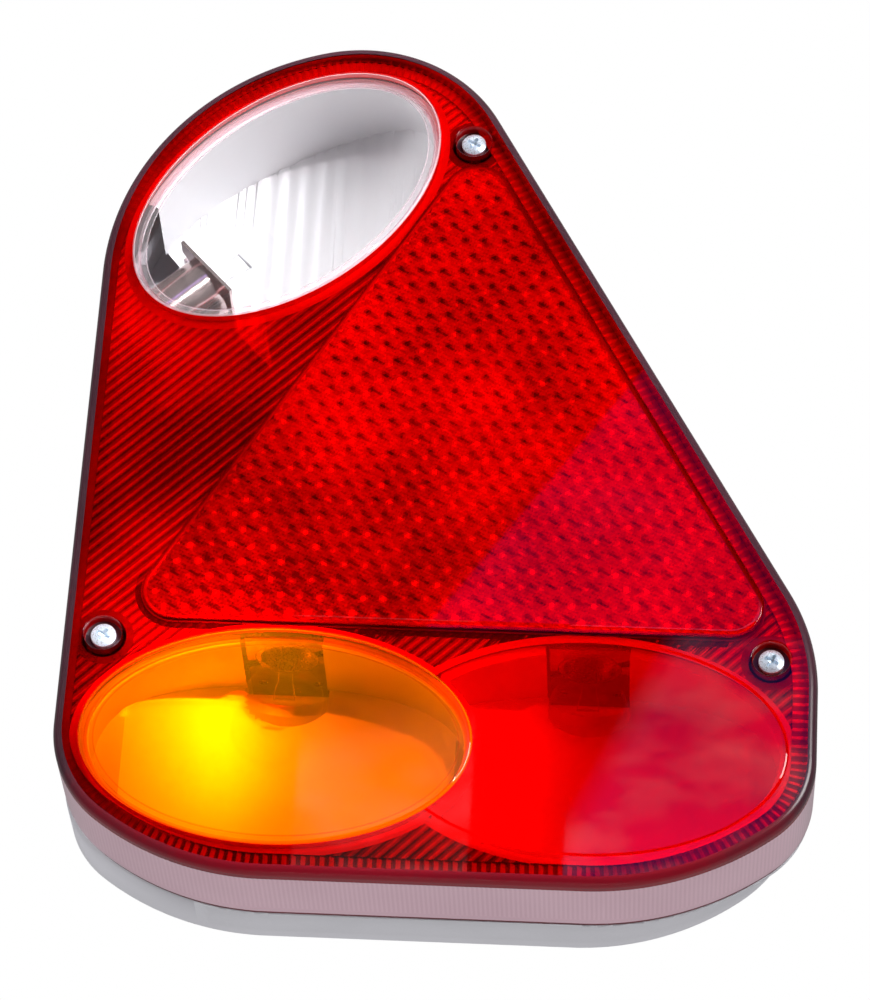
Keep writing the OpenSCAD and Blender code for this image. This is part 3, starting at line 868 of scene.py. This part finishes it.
def bowl(name, outline, floor, opening, node, grid=1.5, lines=(), dull_and_shade=None, wall_shade=0.0):
    """Bowl with a rolled rim, an upright wall and a curved floor, open where opening says so."""
    shape = Shape()
    x0, z0 = outline.min(0) - 1
    x1, z1 = outline.max(0) + 1
    dots = np.stack(np.meshgrid(np.arange(x0, x1, grid), np.arange(z0, z1, grid)), -1).reshape(-1, 2)
    normal = np.roll(outline, -1, axis=0) - np.roll(outline, 1, axis=0)
    normal = np.column_stack([normal[:, 1], -normal[:, 0]]) / np.linalg.norm(normal, axis=1)[:, None]
    dots = dots[inside(outline - normal * 0.5, dots)]
    points, faces, centres = sheet([outline], lines=lines, dots=dots, opening=opening)
    # Tones on the floor and the wall paint shade, which the bowl material darkens.
    shape.put(lifted(points, floor(points)), faces, tone=dull_and_shade(centres) if dull_and_shade else 0.0, smooth=True)
    gone = opening(outline)
    rolled = ((2.6, 4.5), (2.6, 4.1), (0.6, 4.0), (0.15, 4.15), (0.0, WALL_TOP))
    shape.rings([lifted(outline + normal * off, d) for off, d in rolled], tone=0.0, skip=gone)
    wall = [lifted(outline, WALL_TOP), lifted(outline, floor(outline))]
    shape.rings(wall, tone=wall_shade, skip=gone)
    build(name, shape, [BOWL], "base", "bowl_white", node, angle=25)


def drum(points, axis_x, radius=STRAIGHT_R, deepest=STRAIGHT_FLOOR):
    return deepest - radius + np.sqrt(radius ** 2 - (points[:, 0] - axis_x) ** 2)


def trough_reach(along):
    """Square of the trough's half width, at a distance along the bulb from its foot."""
    return np.minimum(TROUGH_R ** 2, TROUGH_END ** 2 - (along - 1) ** 2)


def trough(points, lamp):
    """Depth of the bulb's trough below a bulb that points straight down."""
    place = LAMPS[lamp][0]
    span = trough_reach(place[1] - points[:, 1]) - (points[:, 0] - place[0]) ** 2
    return BULB_DEPTH + np.sqrt(np.clip(span, 0, None))


def trough_edge(lamp, axis_x):
    """Crease where the trough meets the bowl's floor, as line segments."""
    place = LAMPS[lamp][0]
    chain = []
    for along in np.concatenate([[1.0, 6.0, 7.5], np.linspace(8.3, 12.6, 14)]):
        half = 9.2
        for _ in range(20):
            point = np.array([[place[0] + half, place[1] - along]])
            rise = drum(point, axis_x)[0] - BULB_DEPTH
            half = math.sqrt(max(0.01, trough_reach(along) - rise ** 2))
        chain.append((half, place[1] - along))
    path = [(place[0] + h, z) for h, z in chain] + [(place[0] - h, z) for h, z in chain[::-1]]
    return list(zip(path[:-1], path[1:]))


def straight_bowl(lamp, outline, axis_x, node, painted_shade=0.0):
    """Bowl with a drum floor, a trough for its bulb and a notch for its holder."""
    place = LAMPS[lamp][0]
    notch_z = place[1] - HOLDER_DROP

    def floor(points):
        return np.maximum(drum(points, axis_x), trough(points, lamp))

    def opening(points):
        return (np.abs(points[:, 0] - place[0]) < HOLDER_HALF) & (points[:, 1] > notch_z)

    # Painted shade on the trough's faces below the holder.
    def dull_and_shade(points):
        return painted_shade * (trough(points, lamp) > drum(points, axis_x))

    left, right = place[0] - HOLDER_HALF, place[0] + HOLDER_HALF
    cut = [((x, place[1]), (x, notch_z)) for x in (left, right)] + [((left, notch_z), (right, notch_z))]
    bowl("bowl_" + lamp, outline, floor, opening, node, lines=trough_edge(lamp, axis_x) + cut, dull_and_shade=dull_and_shade,
         wall_shade=painted_shade)


def stop_outline():
    """The stop window's oval, cut by the partition round the indicator's bowl."""
    edge = stop_oval(BOWL_IN, 300)
    partition = indicator_oval(2.1, 300)
    outside = ~inside(partition, edge)
    start = int(np.argmax(outside & ~np.roll(outside, 1)))
    free = np.roll(edge, -start, axis=0)[: int(outside.sum())]
    shared = partition[inside(edge, partition)]
    shared = shared[np.argsort(-shared[:, 1])]
    first, last = away(shared[[0, -1]], free[-1])
    if first > last:
        shared = shared[::-1]
    return np.concatenate([free, shared])


def fluted_bowl():
    """Reversing bowl: flutes run up its curved floor, and it stops short of its holder."""
    place, along = LAMPS["reverse"]
    axis_x = REVERSE_C[0] - 8.0
    cut = 1.5

    def floor(points):
        share = ((points[:, 0] - axis_x) / FLUTE_PITCH) % 1.0
        return drum(points, axis_x, FLUTED_R, FLUTED_FLOOR) - FLUTE_RISE * np.sin(math.pi * share) ** 2

    def opening(points):
        return (points - place) @ along < cut

    lines = []
    for k in range(-10, 11):
        for part in (0.0, 0.15, 0.35, 0.5, 0.65, 0.85):
            x = axis_x + (k + part) * FLUTE_PITCH
            lines.append(((x, 70.0), (x, 170.0)))
    foot = place + cut * along
    lines.append((foot - 60 * square_to(along), foot + 60 * square_to(along)))
    # The reversing bowl's wall gets a little painted shade.
    bowl("bowl_reverse", reverse_oval(BOWL_IN, 240), floor, opening, "reflector_reverse",
         grid=3.0, lines=lines, wall_shade=0.10)


# The indicator's bowl gets painted shade on its wall and trough.
straight_bowl("indicator", indicator_oval(BOWL_IN, 240), INDICATOR_C[0] + 2.0, "reflector_indicator", 0.44)
straight_bowl("stop", stop_outline(), STOP_C[0], "reflector_stop")
fluted_bowl()


# ---- base ----

BACK_ROUND = 1.4
back_edge, back_out = trace(outline_arcs(RIGHT_X - 2.0, (35.0, 66.0, 24.0, 68.0)), 1.5)
back_edge = back_edge - back_out * 0.8


def base_tray():
    """The CAD tray, with the outer edge of its back drawn in to meet base_back()."""
    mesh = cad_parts["base_housing"].data.copy()
    mesh.name = "base_tray"
    bm = bmesh.new()
    bm.from_mesh(mesh)
    bmesh.ops.remove_doubles(bm, verts=bm.verts, dist=WELD)
    limit = FACE_Y + (LAMP_DEPTH - 0.1) * MM
    bmesh.ops.delete(bm, geom=[f for f in bm.faces if all(v.co.y > limit for v in f.verts)], context="FACES")
    back = [v for v in bm.verts if v.co.y > limit]
    flat = np.array([(v.co.x / MM, (v.co.z - BASE_Z) / MM) for v in back])
    for v, held in zip(back, inside(back_edge - back_out * 2.0, flat)):
        if not held:
            v.co.y -= BACK_ROUND * MM
    bm.to_mesh(mesh)
    bm.free()
    mesh.materials.clear()
    mesh.materials.append(GREY)
    mesh.set_sharp_from_angle(angle=math.radians(35))
    tray = new_object("base_tray", mesh)
    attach(tray, "base")
    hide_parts("base_housing")


def base_back():
    """Moulded back with a rounded edge, a channel, rings round studs and cable, and cored bosses."""
    shape = Shape()
    turns = [unit(angle) for angle in np.linspace(0, 90, 7)]
    shape.rings([lifted(back_edge - back_out * BACK_ROUND * (1 - c), LAMP_DEPTH - BACK_ROUND * (1 - s))
                 for c, s in turns])
    loops = [back_edge - back_out * off for off in (BACK_ROUND, 7.0, 7.6, 9.0, 9.6)]
    holes = [circle(p, 3.3) for p in STUDS] + [circle(CABLE, 8.1, 64)]
    rounds = [circle(p, r) for p in STUDS for r in (7.5, 7.9, 8.8, 9.2)]
    rounds += [circle(CABLE, r, 64) for r in (10.5, 10.9)]
    rounds += [circle(p, r) for p in SCREWS for r in (3.0, 3.4, 6.0)]
    points, faces, _ = sheet(loops, holes, rounds)
    channel = inside(loops[2] + back_out * 0.02, points) & ~inside(loops[3] - back_out * 0.02, points)
    sink = np.where(channel, 0.8, 0.0)
    for p in STUDS:
        far = away(points, p)
        sink = np.where((far > 7.85) & (far < 8.85), 0.6, np.where(far < 7.6, 0.0, sink))
    for p in SCREWS:
        far = away(points, p)
        sink = np.where(far < 3.05, 1.1, np.where(far < 6.1, 0.0, sink))
    sink = np.where(away(points, CABLE) < 10.6, 0.5, sink)
    shape.put(lifted(points, LAMP_DEPTH - sink), faces)
    edges = rim_edges(faces)
    bore = edges[away(points[edges].mean(1), CABLE) < 9.0]
    shape.walls(points, LAMP_DEPTH - sink, bore, LAMP_DEPTH - 1.2, 0)
    build("base_back", shape, [GREY], "base", "grey_plastic", angle=20)


base_tray()
base_back()


# ---- screws, studs and bulbs ----

HEAD_R = 3.0
SCREW_R, SCREW_PITCH, SCREW_END = 1.12, 1.1, 33.9
STUD_NUT_R, STUD_R, STUD_PITCH = 5.7, 2.45, 1.0


def pan_screw(name, place, body, node):
    """Zinc pan-head screw with a cross recess that tapers to its centre."""
    shape = Shape()
    count = 96
    angles, ways = spokes(count)
    turn = 0.5
    rings = []
    for r in (*np.arange(0, 2.01, 0.25), 2.2, 2.45, 2.65, 2.82, 2.94, HEAD_R):
        dome = 1.05 + 0.62 * (r / HEAD_R) ** 2.6
        x, y = np.abs(r * np.cos(angles + turn)), np.abs(r * np.sin(angles + turn))
        arm, reach = np.minimum(x, y), np.maximum(x, y)
        cut = np.clip((0.42 - arm) / 0.12, 0, 1) * np.clip((1.75 - reach) / 0.2, 0, 1)
        core = np.clip((0.75 - r) / 0.2, 0, 1)
        rings.append(lifted(place + r * ways, dome + np.maximum(cut, core) * (1.25 - 0.35 * reach)))
    side = ((HEAD_R, 2.7), (2.9, 2.98), (1.5, HEAD_BACK))
    rings += [lifted(circle(place, r, count), d) for r, d in side]
    for k in range(150):
        depth = HEAD_BACK + 0.2 * (k + 1)
        crest = 0.5 + 0.5 * np.cos(angles + 2 * math.pi * depth / SCREW_PITCH)
        taper = min(1.0, (SCREW_END - depth) / 2.0 + 0.25)
        rings.append(lifted(place + ((SCREW_R + 0.36 * crest) * taper)[:, None] * ways, depth))
    rings.append(lifted(circle(place, 0.02, count), SCREW_END))
    shape.rings(rings)
    build(name, shape, [ZINC], body, "zinc_steel", node, angle=40)


for key, place in zip(("top", "left", "right"), SCREWS):
    pan_screw("screw_" + key + "_pan_head", place, "screw_" + key, "lens_screw_" + key)


def studs():
    """Hexagon-headed studs with a rolled thread behind the back face."""
    shape = Shape()
    angles, ways = spokes(48)
    tip = (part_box("mounting_studs")[1].y - FACE_Y) / MM
    flats = STUD_NUT_R * math.cos(math.pi / 6) / np.cos((angles % (math.pi / 3)) - math.pi / 6)
    hexagon = (flats - 0.02)[:, None]
    start = LAMP_DEPTH + 0.4
    profile = [(0.02, 33.5), (4.6, 33.5), (hexagon, 33.9), (hexagon, 37.5), (3.25, 37.5), (3.25, LAMP_DEPTH),
               (2.6, LAMP_DEPTH + 0.3)]
    for k in range(int((tip - LAMP_DEPTH - 0.8) / 0.1)):
        depth = start + 0.1 * k
        crest = 0.5 + 0.5 * np.cos(angles + 2 * math.pi * depth / STUD_PITCH)
        taper = min(1.0, (tip - depth) * 0.6 + 0.72)
        profile.append((((STUD_R + 0.53 * crest) * taper)[:, None], depth))
    profile += [(2.0, tip - 0.05), (0.02, tip)]
    for place in STUDS:
        shape.rings([lifted(place + ways * r, depth) for r, depth in profile])
    build("studs_threaded", shape, [ZINC], "base", "zinc_steel", "mounting_studs", angle=40)


studs()


def globe(lamp):
    """Blown glass envelope about the bulb's axis."""
    place, along = LAMPS[lamp]
    neck, ball, ball_at = 6.3, 9.5, 11.0
    ways = spokes(64)[1]
    profile = [(6.0, -1.8), (6.25, -1.0), (neck, 2.8)]
    profile += [(neck + 0.35 * (1 - math.cos(t)), 2.8 + t * 0.6) for t in (0.3, 0.7, 1.0)]
    turns = np.linspace(0.85, math.pi - 0.01, 26)
    profile += [(ball * math.sin(t), ball_at - ball * math.cos(t)) for t in turns]
    rings = []
    for r, s in profile:
        flat = place + s * along + r * ways[:, :1] * square_to(along)
        rings.append(lifted(flat, BULB_DEPTH + r * ways[:, 1]))
    shape = Shape()
    shape.rings(rings)
    build("globe_" + lamp, shape, [GLASS], "bulb_" + lamp, "bulb_glass", "bulb_glass_" + lamp)


def filament(lamp):
    """Two thin lead wires and a coiled filament between their tips."""
    place, along = LAMPS[lamp]
    across = square_to(along)
    shape = Shape()

    def wire(path, radius, count=10):
        path = np.array(path)
        run = np.gradient(path, axis=0)
        run /= np.linalg.norm(run, axis=1)[:, None]
        side = np.cross(run, np.array([0.31, 0.27, 0.91]))
        side /= np.linalg.norm(side, axis=1)[:, None]
        up = np.cross(run, side)
        ways = spokes(count)[1]
        shape.rings([p + radius * (ways @ np.array([a, b])) for p, a, b in zip(path, side, up)])

    def at(s, t, d=0.0):
        return (*(place + s * along + t * across), BULB_DEPTH + d)

    for sign in (-1, 1):
        wire([at(1.0, sign * 1.6), at(6.0, sign * 1.7), at(9.0, sign * 2.4), at(11.0, sign * 2.6)], 0.07)
    coil = [at(11.0 + 0.28 * math.sin(110 * t), -2.6 + 5.2 * t, 0.28 * math.cos(110 * t))
            for t in np.linspace(0, 1, 241)]
    wire(coil, 0.06, 6)
    node = "filament_" + lamp
    build(node + "_coil", shape, [TUNGSTEN], "bulb_" + lamp, "filament_wire", node)


for key in LAMPS:
    globe(key)
    filament(key)


# ---- materials of the CAD nodes that stay ----

KEPT = {
    "gasket": SEAL, "cable_grommet": BLACK_RUBBER, "reflex_back": TRAY, "terminal_screws": ZINC,
    "screw_inserts": BRASS, "earth_strip": BRASS, "terminal_block": IVORY,
}
for key in LAMPS:
    KEPT |= {"contact_" + key: BRASS, "holder_" + key: HOLDER_STEEL, "insulator_" + key: BROWN,
             "bulb_cap_" + key: BULB_BRASS}
for node, look in KEPT.items():
    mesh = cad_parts[node].data
    mesh.materials.clear()
    mesh.materials.append(look)


# ---- stage ----

def snoot(name, place, reach, watts):
    """Narrow soft spot from the right, on one bowl."""
    distance = 1.5
    target = Vector((place[0] * MM, FACE_Y + 0.02, BASE_Z + place[1] * MM))
    direction = Vector((0.30, -0.93, 0.20)).normalized()
    light = put_light(name, "SPOT", watts, target, direction, distance)
    light.data.spot_size = 2 * math.atan(reach * MM / distance) * 1.3
    light.data.spot_blend = 1.0
    light.data.shadow_soft_size = 0.02


def card(name, corners, material):
    """Four-cornered sheet of the stage that neither lights nor shades the lamp."""
    mesh = bpy.data.meshes.new(name)
    mesh.from_pydata(corners, [], [(0, 1, 2, 3)])
    mesh.materials.append(material)
    made = new_object(name, mesh)
    made.visible_diffuse = made.visible_shadow = False
    return made


def floor_plane():
    """Pale floor that turns white far away."""
    material, tree = new_material("floor_pale")
    place = add(tree, "TexCoord", out="Object")
    far = add(tree, "VectorMath", {0: place}, "Value", operation="LENGTH")
    shade = spread(tree, far, 0.84, 1.0, 1.5, 9.0)
    output(tree, add(tree, "Emission", {"Color": (1, 1, 1), "Strength": shade}))
    half, level = 12.0, -0.62
    corners = [(x * half, y * half, level) for x, y in ((-1, -1), (1, -1), (1, 1), (-1, 1))]
    plane = card("floor", corners, material)
    plane.visible_glossy = False


def reflected_pane(name, corners, tint, cloud_tint, strength, slope=0.0, start=0.0, at=-3.0):
    """Cloudy pane, seen only as a soft reflection on the lens. It fades upwards, and to the left
    of a line that leans by slope."""
    material, tree = new_material(name)
    place = add(tree, "TexCoord", out="Object")
    x, z = add(tree, "SeparateXYZ", {0: place}, "X"), add(tree, "SeparateXYZ", {0: place}, "Z")
    cloud = noise(tree, 8.0, 6.0, 0.55, (1.0, 1.0, 2.2))
    colour = ramp(tree, cloud, [(0.46, tint), (0.64, cloud_tint)])
    low_z, high_z = corners[0][1], corners[2][1]
    fade = spread(tree, z, 1.0, 0.0, low_z + 0.25, high_z)
    edge = maths(tree, "SUBTRACT", x, maths(tree, "MULTIPLY", z, slope))
    soft = spread(tree, edge, 0.0, 1.0, start - 0.001, start + 0.03) if slope else 1.0
    level = maths(tree, "MULTIPLY", maths(tree, "MULTIPLY", fade, soft), strength)
    output(tree, add(tree, "Emission", {"Color": colour, "Strength": level}))
    pane = card(name, [(x, at, z) for x, z in corners], material)
    pane.visible_camera = False


def surroundings():
    """White all round for the camera; for light, white behind the lamp and dim in front of it."""
    world = bpy.data.worlds.new("studio")
    scene.world = world
    world.use_nodes = True
    tree = world.node_tree
    tree.nodes.clear()
    place = add(tree, "TexCoord", out="Generated")
    along = add(tree, "SeparateXYZ", {0: place}, "Y")
    glossy, seen = add(tree, "LightPath", out="Is Glossy Ray"), add(tree, "LightPath", out="Is Camera Ray")
    level = maths(tree, "MULTIPLY", spread(tree, along, 0.02, 1.0, -0.05, 0.15),
                  maths(tree, "SUBTRACT", 0.75, maths(tree, "MULTIPLY", glossy, 0.5)))
    white = add(tree, "Background", {"Color": (1, 1, 1), "Strength": maths(tree, "MAXIMUM", level, seen)})
    add(tree, "OutputWorld", {"Surface": white})


floor_plane()
reflected_pane("sky_right", [(-0.058, 1.0), (1.2, 1.0), (1.2, 1.8), (-0.058, 1.8)],
               (0.10, 0.06, 0.72), (1.1, 0.85, 1.3), 1.3, slope=0.45, start=-0.635)
reflected_pane("sky_left", [(-0.317, 1.0), (-0.15, 1.0), (-0.15, 1.40), (-0.317, 1.40)],
               (0.05, 0.12, 0.12), (1.0, 0.85, 0.95), 1.2)
reflected_pane("sky_high", [(-0.20, 1.45), (0.40, 1.45), (0.40, 1.88), (0.01, 1.76)],
               (0.06, 0.0, 0.50), (0.35, 0.05, 0.8), 0.55, at=-2.95)
surroundings()
area_light("key_high", 12, 62, 2.2, (1.2, 0.8), 72)
area_light("fill_left", -50, 14, 2.2, (1.0, 1.0), 26)
area_light("fill_right", 40, 12, 2.2, (0.9, 0.9), 30, glossy=True)
area_light("fill_low", 8, -78, 2.0, (0.9, 0.6), 16)
snoot("snoot_amber", (-58.5, -13.0), 21.0, 620.0)
snoot("snoot_amber_right", (-18.0, -38.0), 18.0, 190.0)
snoot("snoot_clear", (-54.0, 118.0), 36.0, 94.0)
snoot("snoot_red", (2.0, -22.0), 26.0, 60.0)
